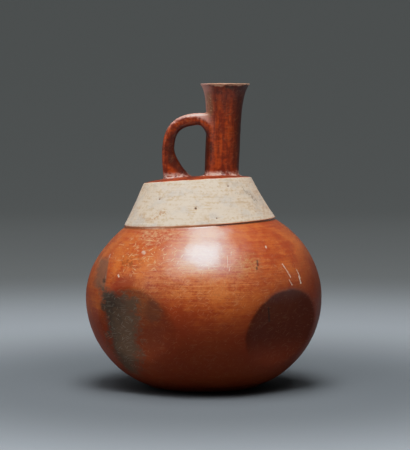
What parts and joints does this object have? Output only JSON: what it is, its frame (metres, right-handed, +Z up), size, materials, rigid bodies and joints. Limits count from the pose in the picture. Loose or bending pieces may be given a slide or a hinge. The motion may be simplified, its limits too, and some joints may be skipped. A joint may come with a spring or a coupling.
{
  "type": "spout-and-handle bottle",
  "caption": "Globular terracotta bottle with round hollows pressed into its belly, a pale sloping collar, a trumpet spout and a strap handle.",
  "frame": {"origin": "on the ground under the middle of the flat foot", "axes": "+Z up, +X from the handle towards the spout, and the side seen in the picture faces -Y"},
  "size_m": [0.1716, 0.1716, 0.22],
  "materials": {
    "terracotta": "burnished red slip with a bare cream collar"
  },
  "bodies": {
    "root": {"vase": "terracotta"}
  },
  "joints": []
}
